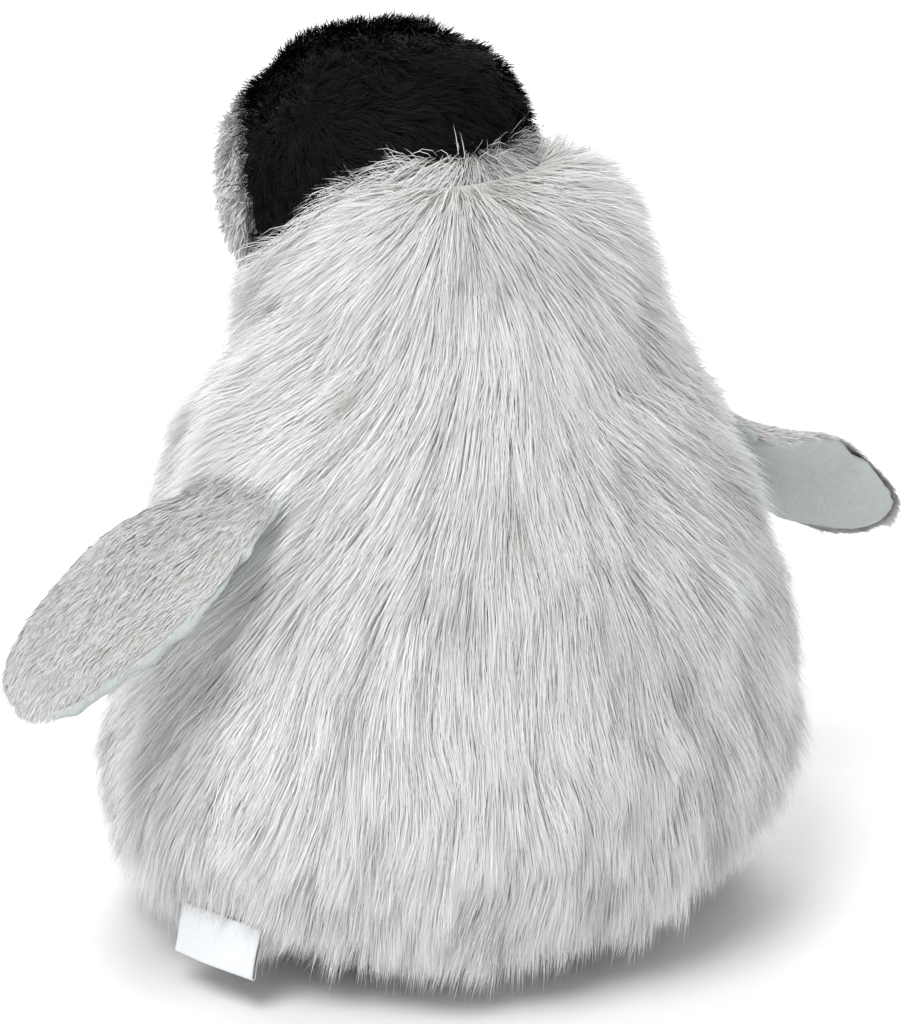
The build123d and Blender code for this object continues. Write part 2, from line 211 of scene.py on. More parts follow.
GREY_HAIR = [
    (0.0, (0.54, 0.53, 0.50)), (0.22, (0.70, 0.695, 0.67)), (0.45, (0.83, 0.83, 0.815)),
    (0.75, (0.90, 0.905, 0.905)), (1.0, (0.93, 0.935, 0.94)),
]
coat_hair = fur_material("coat_hair", GREY_HAIR, (0.40, 0.39, 0.345), (1.0, 1.0, 1.0))
# this darker copy of the coat's grey pile is painted shade for the base, which faces down into shade
shaded_base_hair = fur_material("shaded_base_hair", GREY_HAIR, (0.34, 0.335, 0.31), (0.70, 0.70, 0.69))
black_hair = fur_material(
    "cap_hair", [(0, (0.003, 0.003, 0.004)), (0.6, (0.006, 0.006, 0.0075)), (1, (0.010, 0.010, 0.0125))],
    (0.7, 0.7, 0.7), (1, 1, 1), rough=0.7, specular=0.12,
)
white_hair = fur_material(
    "cheek_hair", [(0, (0.62, 0.62, 0.62)), (0.5, (0.84, 0.845, 0.85)), (1, (0.91, 0.915, 0.92))],
    (0.85, 0.85, 0.85), (1, 1, 1), rough=0.7,
)
flipper_hair = fur_material(
    "flipper_hair", [(0, (0.50, 0.49, 0.47)), (0.4, (0.68, 0.675, 0.66)), (1, (0.80, 0.80, 0.79))],
    (0.50, 0.49, 0.455), (1, 1, 1), rough=0.6,
)
coat_cloth = cloth_material("coat_backing", (0.44, 0.43, 0.41), (0.54, 0.53, 0.51), 0.0012)
black_cloth = cloth_material("cap_backing", (0.005, 0.005, 0.006), (0.012, 0.012, 0.014), 0.0012)
white_cloth = cloth_material("cheek_backing", (0.50, 0.50, 0.50), (0.62, 0.62, 0.62), 0.0012)
flipper_cloth = cloth_material("flipper_backing", (0.42, 0.415, 0.40), (0.50, 0.495, 0.48), 0.001)
# the lining's own pale green-grey, darkened with painted shade as it faces away from the light
shaded_lining_cloth = cloth_material(
    "flipper_lining", (0.43, 0.465, 0.445), (0.51, 0.55, 0.525), 0.0009, bump=0.35
)
foot_cloth = cloth_material("foot_nap", (0.035, 0.035, 0.038), (0.065, 0.065, 0.07), 0.0008, bump=0.4)
beak_cloth = cloth_material("beak_nap", (0.020, 0.020, 0.022), (0.042, 0.042, 0.046), 0.0007, bump=0.4)
fibre = cloth_material("polyester_fibre", (0.74, 0.74, 0.73), (0.86, 0.86, 0.85), 0.002, bump=0.5)
pouch_cloth = cloth_material("pouch_cotton", (0.60, 0.58, 0.53), (0.70, 0.69, 0.64), 0.0008)
pellet_plastic = cloth_material(
    "pellet_plastic", (0.66, 0.66, 0.64), (0.80, 0.80, 0.78), 0.003, bump=0.8, rough=0.5
)
thread_cloth = cloth_material("seam_thread", (0.34, 0.34, 0.33), (0.48, 0.48, 0.46), 0.0004, bump=0.5)
label_cloth = cloth_material(
    "label_satin", (0.70, 0.71, 0.73), (0.80, 0.81, 0.83), 0.0005, bump=0.15, rough=0.42, sheen=0.1,
    stretch=(1, 6, 1),
)
washer_plastic = cloth_material("washer_plastic", (0.60, 0.60, 0.59), (0.68, 0.68, 0.66), 0.004, rough=0.55)
eye_plastic = cloth_material(
    "eye_plastic", (0.004, 0.004, 0.005), (0.009, 0.009, 0.010), 0.004, bump=0.01, rough=0.08, sheen=0.0
)
eye_plastic.node_tree.nodes["Principled BSDF"].inputs["Specular IOR Level"].default_value = 0.6


# ---- mesh building -------------------------------------------------------------------------------
def add_piece(name, mesh, material, body):
    piece = bpy.data.objects.new(name, mesh)
    bpy.context.scene.collection.objects.link(piece)
    mesh.materials.append(material)
    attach(piece, body)
    return piece


def mesh_piece(name, verts, faces, material, body, replaces):
    """A smooth shaped piece in place of CAD nodes."""
    mesh = bpy.data.meshes.new(name)
    mesh.from_pydata([tuple(v) for v in np.asarray(verts, float)], [], [tuple(f) for f in faces])
    mesh.validate()
    mesh.update()
    mesh.polygons.foreach_set("use_smooth", [True] * len(mesh.polygons))
    piece = add_piece(name, mesh, material, body)
    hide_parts(*replaces)
    return piece


def grid_faces(rows, columns, wrap=False):
    """Quads of a grid of points laid out row by row."""
    last = columns if wrap else columns - 1
    return [
        (r * columns + c, r * columns + (c + 1) % columns,
         (r + 1) * columns + (c + 1) % columns, (r + 1) * columns + c)
        for r in range(rows - 1) for c in range(last)
    ]


STATIONS = np.array((0.0, 0.34, 0.68, 1.0))  # shares of a hair's length at which its points stand


def hair_width(part, count):
    return np.full(count, HAIR_WIDTH[part] / math.sqrt(SHARE))


def hair_paths(root, normal, flow, length, lift, drop, jitter):
    """Points along each hair: it leaves the skin by lift and leans into the flow and down."""
    start = unit(normal * lift[:, None] + flow * (1 - lift[:, None]) + jitter)
    end = unit(normal * (lift * 0.35)[:, None] + flow + jitter * 1.6 + DOWN * drop[:, None])
    points = [root]
    for a, b in zip(STATIONS[:-1], STATIONS[1:]):
        way = unit(start * (1 - (a + b) / 2) + end * (a + b) / 2)
        points.append(points[-1] + way * (length * (b - a))[:, None])
    return np.stack(points, 1)


def nearest(points, seeds):
    tree = KDTree(len(seeds))
    for i, p in enumerate(seeds):
        tree.insert(p, i)
    tree.balance()
    return np.array([tree.find(p)[1] for p in points])


def gather(paths, root, per_lock, pull, seed, power=1.3, place=None):
    """Hairs close in on the middle hair of their lock towards the tip."""
    local = np.random.default_rng(seed)
    place = root if place is None else place
    count = max(4, int(len(root) / max(1.0, per_lock)))
    chosen = local.permutation(len(root))[:count]
    wobble = np.stack([noise(root, 0.006, seed + k) for k in (1, 2, 3)], -1) * 0.0012
    owner = chosen[nearest(place + wobble, place[chosen])]
    strength = pull * local.uniform(0.45, 1.0, len(root))
    weight = strength[:, None] * STATIONS[None, :] ** power
    target = paths[owner] + (root - root[owner])[:, None, :] * 0.12
    return paths * (1 - weight[..., None]) + target * weight[..., None], owner


def hair_piece(name, paths, normal, width, tone, material, body, seed):
    """Every hair is a ribbon of two quads and a pointed end."""
    local = np.random.default_rng(seed)
    n = len(paths)
    along = unit(paths[:, -1] - paths[:, 0])
    side = unit(np.cross(along, normal))
    side = spin(side, along, local.uniform(-0.7, 0.7, n))
    taper = np.array((0.9, 1.0, 0.75))
    half = (width[:, None] * taper[None, :] / 2)[..., None]
    left = paths[:, :3] - side[:, None, :] * half
    right = paths[:, :3] + side[:, None, :] * half
    verts = np.empty((n, 7, 3))
    verts[:, 0:6:2] = left
    verts[:, 1:6:2] = right
    verts[:, 6] = paths[:, 3]
    pattern = np.array((0, 1, 3, 2, 2, 3, 5, 4, 4, 5, 6))
    loops = (np.arange(n)[:, None] * 7 + pattern).ravel()
    starts = (np.arange(n)[:, None] * 11 + np.array((0, 4, 8))).ravel()
    totals = np.tile((4, 4, 3), n)
    mesh = bpy.data.meshes.new(name)
    mesh.vertices.add(n * 7)
    mesh.vertices.foreach_set("co", verts.ravel())
    mesh.loops.add(len(loops))
    mesh.loops.foreach_set("vertex_index", loops.astype(np.int32))
    mesh.polygons.add(n * 3)
    mesh.polygons.foreach_set("loop_start", starts.astype(np.int32))
    mesh.polygons.foreach_set("loop_total", totals.astype(np.int32))
    mesh.polygons.foreach_set("use_smooth", np.ones(n * 3, bool))
    mesh.update()
    uv = mesh.uv_layers.new(name="OFBake")
    u = np.clip(tone, 0.02, 0.98)[:, None] + np.array((-1, 1) * 3 + (0,))[None, :] * 0.006
    v = np.repeat(STATIONS[:3], 2).tolist() + [1.0]
    coords = np.stack([u, np.broadcast_to(np.clip(v, 0.01, 0.99), (n, 7))], -1)
    uv.data.foreach_set("uv", coords[:, pattern].astype(np.float32).ravel())
    facing = unit(np.cross(side, along))
    facing *= np.where(np.sum(facing * normal, -1, keepdims=True) < 0, -1, 1)
    soft = unit(normal + facing * 0.14)
    mesh.normals_split_custom_set_from_vertices(np.repeat(soft, 7, axis=0).tolist())
    add_piece(name, mesh, material, body)


# ---- body surface --------------------------------------------------------------------------------
run = np.concatenate([[0], np.cumsum(np.hypot(np.diff(OUTLINE[:, 0]), np.diff(OUTLINE[:, 1:].mean(1))))])
RUN_END = run[-1]
seam_run = float(np.interp(BASE_SEAM, OUTLINE[:, 0], run))


BIG_LUMP, SMALL_LUMP = 0.0016, 0.0006  # how far the stuffing's lumps move the surface


def body_point(turn, along, inset=0.0):
    """A point and its outward normal; turn from straight ahead to the left, along from the base up."""
    def place(t, s):
        z, back, front, half = hermite(s, run, OUTLINE).T
        x = half * np.sin(t)
        y = (back - front) / 2 - (back + front) / 2 * np.cos(t)
        return np.stack([x, y, z], -1)

    turn, along = np.broadcast_arrays(np.asarray(turn, float), np.asarray(along, float))
    turn, along = turn.ravel(), along.ravel()
    step = 1e-4
    p = place(turn, along)
    across = place(turn + step, along) - place(turn - step, along)
    up = (
        place(turn, np.clip(along + step * 0.1, 0, RUN_END))
        - place(turn, np.clip(along - step * 0.1, 0, RUN_END))
    )
    normal = unit(np.cross(across, up))
    lump = noise(p, 0.035, 5) * BIG_LUMP + noise(p, 0.016, 6) * SMALL_LUMP
    return p + normal * (lump - inset)[:, None], normal


WIDEST = 0.094  # a little more than the outline's widest reach


def scatter_body(rng, count, turn_range, run_range, inset):
    """Even random points on a part of the body's surface."""
    t = rng.uniform(*turn_range, count * 3)
    s = rng.uniform(*run_range, count * 3)
    z, back, front, half = hermite(s, run, OUTLINE).T
    size = np.hypot(half * np.cos(t), (back + front) / 2 * np.sin(t))
    keep = rng.uniform(0, 1, len(t)) < size / WIDEST
    t, s = t[keep][:count], s[keep][:count]
    p, n = body_point(t, s, inset)
    return p, n, t, s


SKIN_INSET = 7.0 * MM  # the backing cloth lies this far inside the outline
SKIN_STOP, PILE_STOP = 0.0425, 0.0378  # both end this far from the head's centre
NECK_WAY = np.array((0, -math.sqrt(0.5), math.sqrt(0.5)))  # up and forward, from the body to the head


def torso_skin(name, turns, runs, replaces):
    """Backing cloth of one panel of the body, with an opening for the head."""
    rows = max(3, int((runs[1] - runs[0]) / 0.004))
    columns = max(3, int((turns[1] - turns[0]) / 0.05))
    s, t = np.meshgrid(np.linspace(*runs, rows), np.linspace(*turns, columns), indexing="ij")
    p, _ = body_point(t, s, SKIN_INSET)
    p[:, 2] = np.maximum(p[:, 2], 0.0012)
    outside = np.linalg.norm(p - HEAD, axis=1) > SKIN_STOP
    faces = [f for f in grid_faces(rows, columns) if outside[list(f)].all()]
    mesh_piece(name, p, faces, coat_cloth, "torso", replaces)


def shoulder(p):
    """Up to 1 just above a flipper's root, where the coat hangs over it, fading smoothly all round."""
    total = 0
    for side, sign in (("left", 1), ("right", -1)):
        above = (p[:, 2] - HINGE[side][2] - 0.014) / 0.016
        beside = (p[:, 1] - HINGE[side][1]) / 0.024
        total = total + (p[:, 0] * sign > 0) * np.exp(-above**2 - beside**2)
    return np.clip(total, 0, 1)


def coat(name, count, turns, runs, seed, length=23.0, parts=1, material=coat_hair, inset=SKIN_INSET,
         tone_at=0.84):
    """Long combed pile over a part of the body, split so that no piece has too many hairs to export."""
    rng = np.random.default_rng(seed)
    p, n, t, s = scatter_body(rng, int(count * SHARE), turns, runs, inset)
    away = np.linalg.norm(p - HEAD, axis=1)
    keep = away > PILE_STOP
    p, n, t, s, away = p[keep], n[keep], t[keep], s[keep], away[keep]
    # the pile is combed down and fans out to both sides of the back; near the neck it stands up
    high = np.clip((p[:, 2] - 0.10) / 0.09, 0, 1)
    fan = (0.50 + 0.30 * high) * np.sin(t - FAN_CENTRE)
    sideways = unit(np.cross((0, 0, 1), n))
    flow = flow_along(n, DOWN + sideways * fan[:, None])
    turned = noise(p, 0.045, 21) * 0.35 + noise(p, 0.014, 22) * 0.30 + noise(p, 0.006, 28) * 0.16
    flow = spin(flow, n, turned)
    off_head = unit(p - HEAD)
    collar = np.clip(1 - (away - 0.038) / 0.016, 0, 1)
    low = np.clip(1 - p[:, 2] / 0.02, 0, 1)
    lift = 0.30 + 0.12 * noise(p, 0.010, 23) + 0.08 * rng.normal(size=len(p)) + 0.38 * collar - 0.20 * low
    lift = np.clip(lift, 0.08, 0.9)
    over = shoulder(p)
    lift = np.clip(lift + 0.24 * over, 0.08, 0.9)
    flow = unit(flow + off_head * (0.35 * collar)[:, None])
    size = length * MM * (1 + 0.22 * noise(p, 0.012, 24) + 0.14 * rng.normal(size=len(p)).clip(-2, 2))
    size *= (1 - 0.45 * collar) * (1 - 0.5 * low)
    jitter = rng.normal(size=p.shape) * 0.09
    drop = np.full(len(p), 0.22) * (1 - low) + 0.3 * over
    paths = hair_paths(p, n, flow, size, lift, drop, jitter)
    # locks and the streaks of painted shade between them are long and narrow, and follow the fan
    across = t * 0.085 + fan * s
    place = np.stack([across, s * 0.35, 0 * s], -1)
    streak = noise(np.stack([across, s * 0.16, 0 * s], -1), 0.0042, 26)
    streak += 0.5 * noise(np.stack([across, s * 0.12, 0 * s], -1), 0.0019, 27)
    paths, big = gather(paths, p, 90 * SHARE, 0.5, seed + 1, 1.0, place)
    paths, small = gather(paths, p, 14 * SHARE, 0.36, seed + 2, 1.4, place)
    paths[..., 2] = np.maximum(paths[..., 2], 0.0006)
    tone = tone_at + 0.04 * rng.normal(size=len(p))[big] + 0.03 * rng.normal(size=len(p))[small]
    # the streak term darkens whole hairs: painted shade in the partings between locks
    tone += (
        0.035 * rng.normal(size=len(p)) + 0.08 * noise(p, 0.028, 25)
        - 0.50 * np.clip(streak - 0.28, 0, 1)
    )
    width = hair_width("coat", len(p)) * rng.uniform(0.75, 1.25, len(p))
    order = np.argsort(t + rng.uniform(-0.01, 0.01, len(t)))
    for k, rows in enumerate(np.array_split(order, parts)):
        piece_name = name if parts == 1 else f"{name}_{k + 1}"
        hair_piece(piece_name, paths[rows], n[rows], width[rows], tone[rows], material, "torso", seed + k)


torso_skin("skin_back_left", (PI / 2, PI), (seam_run, RUN_END), ("back_panel_left",))
torso_skin("skin_back_right", (PI, 1.5 * PI), (seam_run, RUN_END), ("back_panel_right",))
torso_skin("skin_belly", (-PI / 2, PI / 2), (seam_run, RUN_END), ("belly_panel",))


def base_skin():
    """The base panel: its curled rim and the flat bottom."""
    rows, columns = 10, 96
    runs, turns = np.linspace(seam_run, 0, rows), np.linspace(0, 2 * PI, columns, endpoint=False)
    s, t = np.meshgrid(runs, turns, indexing="ij")
    p, _ = body_point(t, s, SKIN_INSET * 0.8)
    rim = p.reshape(rows, columns, 3)
    rings = [rim[i] for i in range(rows)]
    rings += [rim[-1] * (share, share, 1) for share in (0.85, 0.6, 0.3, 0.08)]
    p = np.concatenate(rings)
    p[:, 2] = np.maximum(p[:, 2], 0.0009 + noise(p, 0.012, 8) * 0.0003)
    faces = [tuple(reversed(f)) for f in grid_faces(len(rings), columns, wrap=True)]
    faces.append(tuple(range((len(rings) - 1) * columns, len(rings) * columns)))
    mesh_piece("skin_base", p, faces, coat_cloth, "torso", ("base_panel",))


base_skin()
coat("coat_back_left", HAIRS["back"], (PI / 2 - 0.05, PI), (seam_run, RUN_END), 101, parts=2)
coat("coat_back_right", HAIRS["back"], (PI, 1.5 * PI + 0.05), (seam_run, RUN_END), 111, parts=2)
coat("coat_belly", HAIRS["belly"], (-PI / 2, PI / 2 - 0.05), (seam_run, RUN_END), 121, parts=2,
     length=20)
# the base's low tone_at darkens its pile further: painted shade under the body
coat("coat_base", HAIRS["base"], (0, 2 * PI), (0.0015, seam_run), 131, length=13,
     material=shaded_base_hair, inset=SKIN_INSET * 1.2, tone_at=0.42)


def ruff():
    """The coat's edge at the neck seam: it starts against the head and falls away over the body."""
    rng = np.random.default_rng(141)
    way = unit(rng.normal(size=(int(HAIRS["ruff"] * SHARE), 3)))
    place = HEAD + way * 0.0430
    back, front, half = (np.interp(place[:, 2], OUTLINE[:, 0], OUTLINE[:, k]) for k in (1, 2, 3))
    middle, reach = (back - front) / 2, (back + front) / 2
    ratio = np.hypot(place[:, 0] / half, (place[:, 1] - middle) / reach)
    # only the band where the head's ball comes out of the body
    depth = np.minimum((1 - ratio) * (half + reach) / 2, OUTLINE[-1, 0] - place[:, 2])
    keep = (depth > -0.0012) & (depth < 0.0090)
    way, place = way[keep], place[keep]
    middle, reach, half = middle[keep], reach[keep], half[keep]
    outward = unit(np.stack([place[:, 0] / half**2, (place[:, 1] - middle) / reach**2, 6 + 0 * half], -1))
    turn = np.arctan2(place[:, 0], -(place[:, 1] - middle))
    fan = 0.8 * np.sin(turn - FAN_CENTRE)
    sideways = unit(np.cross((0, 0, 1), outward))
    flow = flow_along(outward, DOWN + sideways * fan[:, None])
    flow = spin(flow, outward, noise(place, 0.012, 29) * 0.5)
    stray = rng.uniform(0, 1, len(way)) < 0.06
    flow = np.where(stray[:, None], unit(way * 0.5 + NECK_WAY * 0.8), flow)
    p = HEAD + way * rng.uniform(0.0368, 0.0405, len(way))[:, None]
    normal = unit(way * 0.55 + outward)
    size = 0.0160 * (1 + 0.25 * noise(place, 0.010, 30) + 0.15 * rng.normal(size=len(p)).clip(-2, 2))
    size *= np.where(stray, 0.6, 1)
    lift = np.clip(0.62 + 0.12 * rng.normal(size=len(p)), 0.3, 0.95)
    paths = hair_paths(p, normal, flow, size, lift, np.full(len(p), 0.1), rng.normal(size=p.shape) * 0.12)
    paths, lock = gather(paths, p, 14 * SHARE, 0.45, 142, 1.2)
    tone = 0.84 + 0.05 * rng.normal(size=len(p))[lock] + 0.05 * rng.normal(size=len(p))
    hair_piece("coat_ruff", paths, normal, hair_width("ruff", len(p)), tone, coat_hair, "torso", 143)


ruff()


# ---- head ----------------------------------------------------------------------------------------
CHEEK_L, CHEEK_R, CHIN_AIM = aim(CHEEK[0], CHEEK[1]), aim(-CHEEK[0], CHEEK[1]), aim(CHIN[0], CHIN[1])
CHEEK_ANGLE = math.asin(CHEEK[2] / HEAD_R)
CHIN_ANGLE = math.asin(CHIN[2] / HEAD_R)


def angle_to(way, centre):
    """Angle between each direction and one centre."""
    return np.arccos(np.clip(way @ centre, -1, 1))


def white_share(way, soft=0.05):
    """1 inside the white cheeks and chin, 0 on the black cap."""
    wobble = noise(way, 0.18, 31) * 0.03
    inside = np.maximum.reduce([
        CHEEK_ANGLE - angle_to(way, CHEEK_L),
        CHEEK_ANGLE - angle_to(way, CHEEK_R),
        CHIN_ANGLE - angle_to(way, CHIN_AIM),
        np.where(way[:, 1] < 0, np.minimum(0.2 - np.abs(way[:, 0]), -0.1 - way[:, 2]), -1),
    ])
    return np.clip((inside + wobble) / soft + 0.5, 0, 1)


SKULL_R, CHEEK_FULL = 0.0372, 0.0036  # the cap's cloth, and how much fuller the cheeks are
BEAK_AIM = aim(0, -2)
EYE_BARE = 0.085  # angle round the eye without pile


def head_surface(way):
    """The head's skin: a ball with fuller cheeks and a flatter crown."""
    white = white_share(way, 0.25)
    radius = SKULL_R + CHEEK_FULL * white + noise(way, 0.55, 32) * 0.0010
    radius -= 0.0012 * np.clip(way[:, 2] - 0.8, 0, 1)
    return HEAD + way * radius[:, None]


def head_skin():
    """Backing cloth of the head, split into the black cap and the white cheeks and chin."""
    rows, columns = 49, 96
    rises, turns = np.linspace(-PI / 2, PI / 2, rows), np.linspace(0, 2 * PI, columns, endpoint=False)
    rise, turn = np.meshgrid(rises, turns, indexing="ij")
    way = np.stack([np.cos(rise) * np.sin(turn), -np.cos(rise) * np.cos(turn), np.sin(rise)], -1)
    p = head_surface(way.reshape(-1, 3))
    faces = np.array(grid_faces(rows, columns, wrap=True))
    centre = unit(p[faces].mean(1) - HEAD)
    white = white_share(centre, 0.01) > 0.5
    caps = ("head_cap_left", "head_cap_right")
    patches = ("cheek_patch_left", "cheek_patch_right", "chin_patch")
    for name, mask, cloth, slot, names in (
        ("skin_cap", ~white, black_cloth, "fur_black", caps),
        ("skin_cheeks", white, white_cloth, "plush_white", patches),
    ):
        used, index = np.unique(faces[mask], return_inverse=True)
        mesh_piece(name, p[used], index.reshape(-1, 4), cloth, "head", names)


def cap_fur():
    """Short ruffled pile on the black cap, thinner and flatter under the head."""
    rng = np.random.default_rng(201)
    way = unit(rng.normal(size=(int(HAIRS["cap"] * SHARE), 3)))
    way = way[(way @ NECK_WAY > -0.80) & (white_share(way) < 0.5)]
    way = way[angle_to(way, BEAK_AIM) > 0.17]
    p = head_surface(way)
    back = flow_along(way, (0, 1, -0.55))
    swirl = noise(way, 0.7, 41) * 0.9 + noise(way, 0.2, 42) * 0.9
    flow = spin(back, way, swirl)
    lift = np.clip(0.62 + 0.2 * noise(way, 0.16, 43) + 0.10 * rng.normal(size=len(way)), 0.25, 0.95)
    under = np.clip((-0.45 - way @ NECK_WAY) / 0.2, 0, 1)
    size = 0.0072 * (1 + 0.25 * noise(way, 0.2, 44) + 0.12 * rng.normal(size=len(way))) * (1 - 0.5 * under)
    lift = lift * (1 - 0.6 * under)
    paths = hair_paths(p, way, flow, size, lift, np.full(len(way), 0.1), rng.normal(size=p.shape) * 0.16)
    paths, lock = gather(paths, p, 22 * SHARE, 0.5, 202, 1.1)
    tone = 0.5 + 0.2 * rng.normal(size=len(way))[lock] + 0.15 * rng.normal(size=len(way))
    hair_piece("coat_cap", paths, way, hair_width("cap", len(way)), tone, black_hair, "head", 203)


def cheek_fur():
    """Short curly pile on the white cheeks and chin, shorter round the eyes."""
    rng = np.random.default_rng(211)
    way = unit(rng.normal(size=(int(HAIRS["cheeks"] * SHARE), 3)))
    white = white_share(way)
    eye = np.minimum(angle_to(way, aim(*EYE)), angle_to(way, aim(-EYE[0], EYE[1])))
    keep = (white >= 0.5) & (way @ NECK_WAY > -0.85) & (eye > EYE_BARE)
    keep &= angle_to(way, BEAK_AIM) > 0.16
    way, eye = way[keep], eye[keep]
    p = head_surface(way)
    out = flow_along(way, (0, 0.6, -0.8))
    flow = spin(out, way, noise(way, 0.35, 51) * 1.2 + noise(way, 0.1, 52) * 1.3)
    lift = np.clip(0.62 + 0.2 * noise(way, 0.1, 53) + 0.12 * rng.normal(size=len(way)), 0.2, 0.95)
    near_eye = np.clip(1 - (eye - EYE_BARE) / 0.14, 0, 1)
    size = 0.0056 * (1 + 0.2 * rng.normal(size=len(way))) * (1 - 0.55 * near_eye)
    paths = hair_paths(p, way, flow, size, lift, np.full(len(way), 0.1), rng.normal(size=p.shape) * 0.28)
    paths, lock = gather(paths, p, 16 * SHARE, 0.75, 212, 1.0)
    tone = 0.65 + 0.2 * rng.normal(size=len(way))[lock] + 0.1 * rng.normal(size=len(way))
    width = hair_width("cheeks", len(way))
    hair_piece("coat_cheeks", paths, way, width, tone, white_hair, "head", 213)


head_skin()
cap_fur()
cheek_fur()


# ---- beak ----------------------------------------------------------------------------------------
def beak_half(name, upper):
    """One stuffed half of the beak, with a soft lip along the mouth."""
    rows, columns = 22, 28
    along = np.linspace(0, 1, rows)
    # distance from the head's centre, half width, height and drop of each section
    table = np.array([
        (36.5, 7.2, 6.2, 0.5), (44, 6.6, 5.6, 1.2), (51, 4.6, 4.1, 3.2), (56.4, 1.9, 1.9, 5.6),
    ]) * MM
    if not upper:
        table = table * (0.955, 0.86, 0.9, 1.0)
    distance, wide, high, drop = hermite(along, np.linspace(0, 1, 4), table).T
    points = []
    for d, w, h, fall, a in zip(distance, wide, high, drop, along):
        cap = math.sqrt(max(0.0, 1 - max(0.0, (a - 0.86) / 0.14) ** 2)) if a < 1 else 0.02
        mouth = -(2.0 * MM + (d - 0.0365) * math.tan(math.radians(10)))
        middle = -fall
        for k in range(columns):
            angle = PI * k / (columns - 1)
            x = w * cap * math.cos(angle)
            if upper:
                z = mouth + 0.0002 + max(0.0, (middle + h - mouth)) * cap * math.sin(angle) ** 0.9
            else:
                z = mouth - 0.0002 - max(0.0008, (mouth - middle + h)) * cap * math.sin(angle) ** 0.9
            points.append((x, -d, z))
        for k in range(1, columns - 1):
            x = w * cap * math.cos(PI * (columns - 1 - k) / (columns - 1))
            z = mouth + (0.0002 if upper else -0.0002)
            points.append((x, -d, z))
    ring = 2 * columns - 2
    p = np.array(points) + HEAD
    p += noise(p, 0.004, 61)[:, None] * 0.00012
    faces = grid_faces(rows, ring, wrap=True)
    faces += [tuple(range(ring)), tuple(reversed(range((rows - 1) * ring, rows * ring)))]
    node = "beak_upper" if upper else "beak_lower"
    mesh_piece(name, p, faces, beak_cloth, "head", (node,))


beak_half("beak_top", True)
beak_half("beak_bottom", False)


# ---- flippers ------------------------------------------------------------------------------------
# distance from the root, width, thickness, sweep to the back, share of the roll
BLADE = np.array([
    (-14, 20, 4.4, 0, 0.0), (-5, 32, 7.0, 0, 0.0), (2, 35.5, 7.9, 0, 0.0), (10, 37, 8.8, 0, 0.25),
    (23, 36, 9.0, 0, 0.7), (37, 32.5, 8.6, 0.5, 1.0), (50, 28.5, 7.8, 1, 1.0), (59, 24.5, 6.8, 1.5, 1.0),
    (65.5, 18.5, 5.4, 2, 1.0), (69, 11, 3.6, 2, 1.0), (70.5, 2, 1.0, 2, 1.0),
])


def flipper_point(side, along, around, grow=0.0):
    """around: 0 at the leading edge, a quarter turn on the outer face, half a turn at the trailing edge."""
    sign = 1 if side == "left" else -1
    droop = math.radians(DROOP[side])
    along, around = np.broadcast_arrays(np.asarray(along, float), np.asarray(around, float))
    along, around = along.ravel(), around.ravel()
    distance, wide, thick, sweep, share = hermite(along, np.linspace(0, 1, len(BLADE)), BLADE).T
    roll = np.radians(ROLL[side] * share)
    out = np.array((sign * math.cos(droop), 0, -math.sin(droop)))
    up = np.array((sign * math.sin(droop), 0, math.cos(droop)))
    ahead = np.array((0.0, -1.0, 0.0))
    chord = ahead * np.cos(roll)[:, None] + up * np.sin(roll)[:, None]
    face = -ahead * np.sin(roll)[:, None] + up * np.cos(roll)[:, None]
    root = HINGE[side]
    c, s = np.cos(around), np.sin(around)
    half_w, half_t = wide / 2 * MM, thick / 2 * MM
    x = half_w * c - sweep * MM
    lens = np.sign(s) * np.abs(s) ** 0.85 * half_t
    point = root + out * (distance * MM)[:, None] + chord * x[:, None] + face * (lens + grow * np.sign(s))[:, None]
    return point, chord, face, out


def flipper_normal(side, along, around):
    step = 2e-3
    tip_side, root_side = np.clip(along + step, 0, 1), np.clip(along - step, 0, 1)
    a = flipper_point(side, tip_side, around)[0] - flipper_point(side, root_side, around)[0]
    b = flipper_point(side, along, around + step)[0] - flipper_point(side, along, around - step)[0]
    n = unit(np.cross(a, b))
    face = flipper_point(side, along, around)[2]
    wanted = np.sign(np.sin(around))[:, None] * face
    return n * np.where(np.sum(n * wanted, -1, keepdims=True) < 0, -1, 1)


